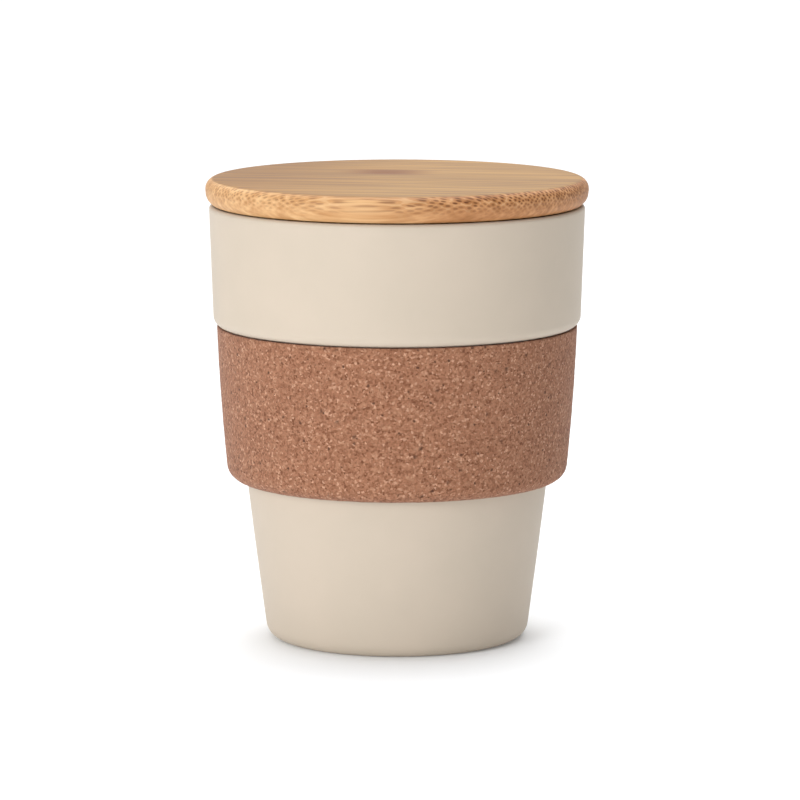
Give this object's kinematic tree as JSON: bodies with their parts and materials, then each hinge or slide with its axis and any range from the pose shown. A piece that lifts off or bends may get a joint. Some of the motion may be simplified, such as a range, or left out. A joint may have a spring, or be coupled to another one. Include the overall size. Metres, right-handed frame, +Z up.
{
  "type": "lidded drinking tumbler with a cork sleeve",
  "caption": "Tapered moulded tumbler with a foot ring and a shoulder that seats a slide-on cork sleeve, closed by a lift-off bamboo lid with a silicone ring.",
  "frame": {"origin": "middle of the foot ring, on the surface the cup stands on", "axes": "+Z up along the cup's axis; the lid's long grain runs along X"},
  "size_m": [0.0916, 0.0916, 0.111],
  "materials": {
    "cup_plastic": "satin",
    "sleeve_cork": "matte",
    "lid_bamboo": "matte",
    "seal_silicone": "satin"
  },
  "bodies": {
    "cup": {"cup_body": "cup_plastic"},
    "sleeve": {"cork_sleeve": "sleeve_cork"},
    "lid": {"lid_disc": "lid_bamboo", "lid_plug": "lid_bamboo", "lid_seal": "seal_silicone"}
  },
  "joints": [
    {"name": "lid_lift", "type": "slide", "parent": "cup", "child": "lid", "axis": [0, 0, 1], "range_m": [0, 0.06]},
    {"name": "sleeve_slide", "type": "slide", "parent": "cup", "child": "sleeve", "axis": [0, 0, -1], "range_m": [0, 0.038]}
  ]
}
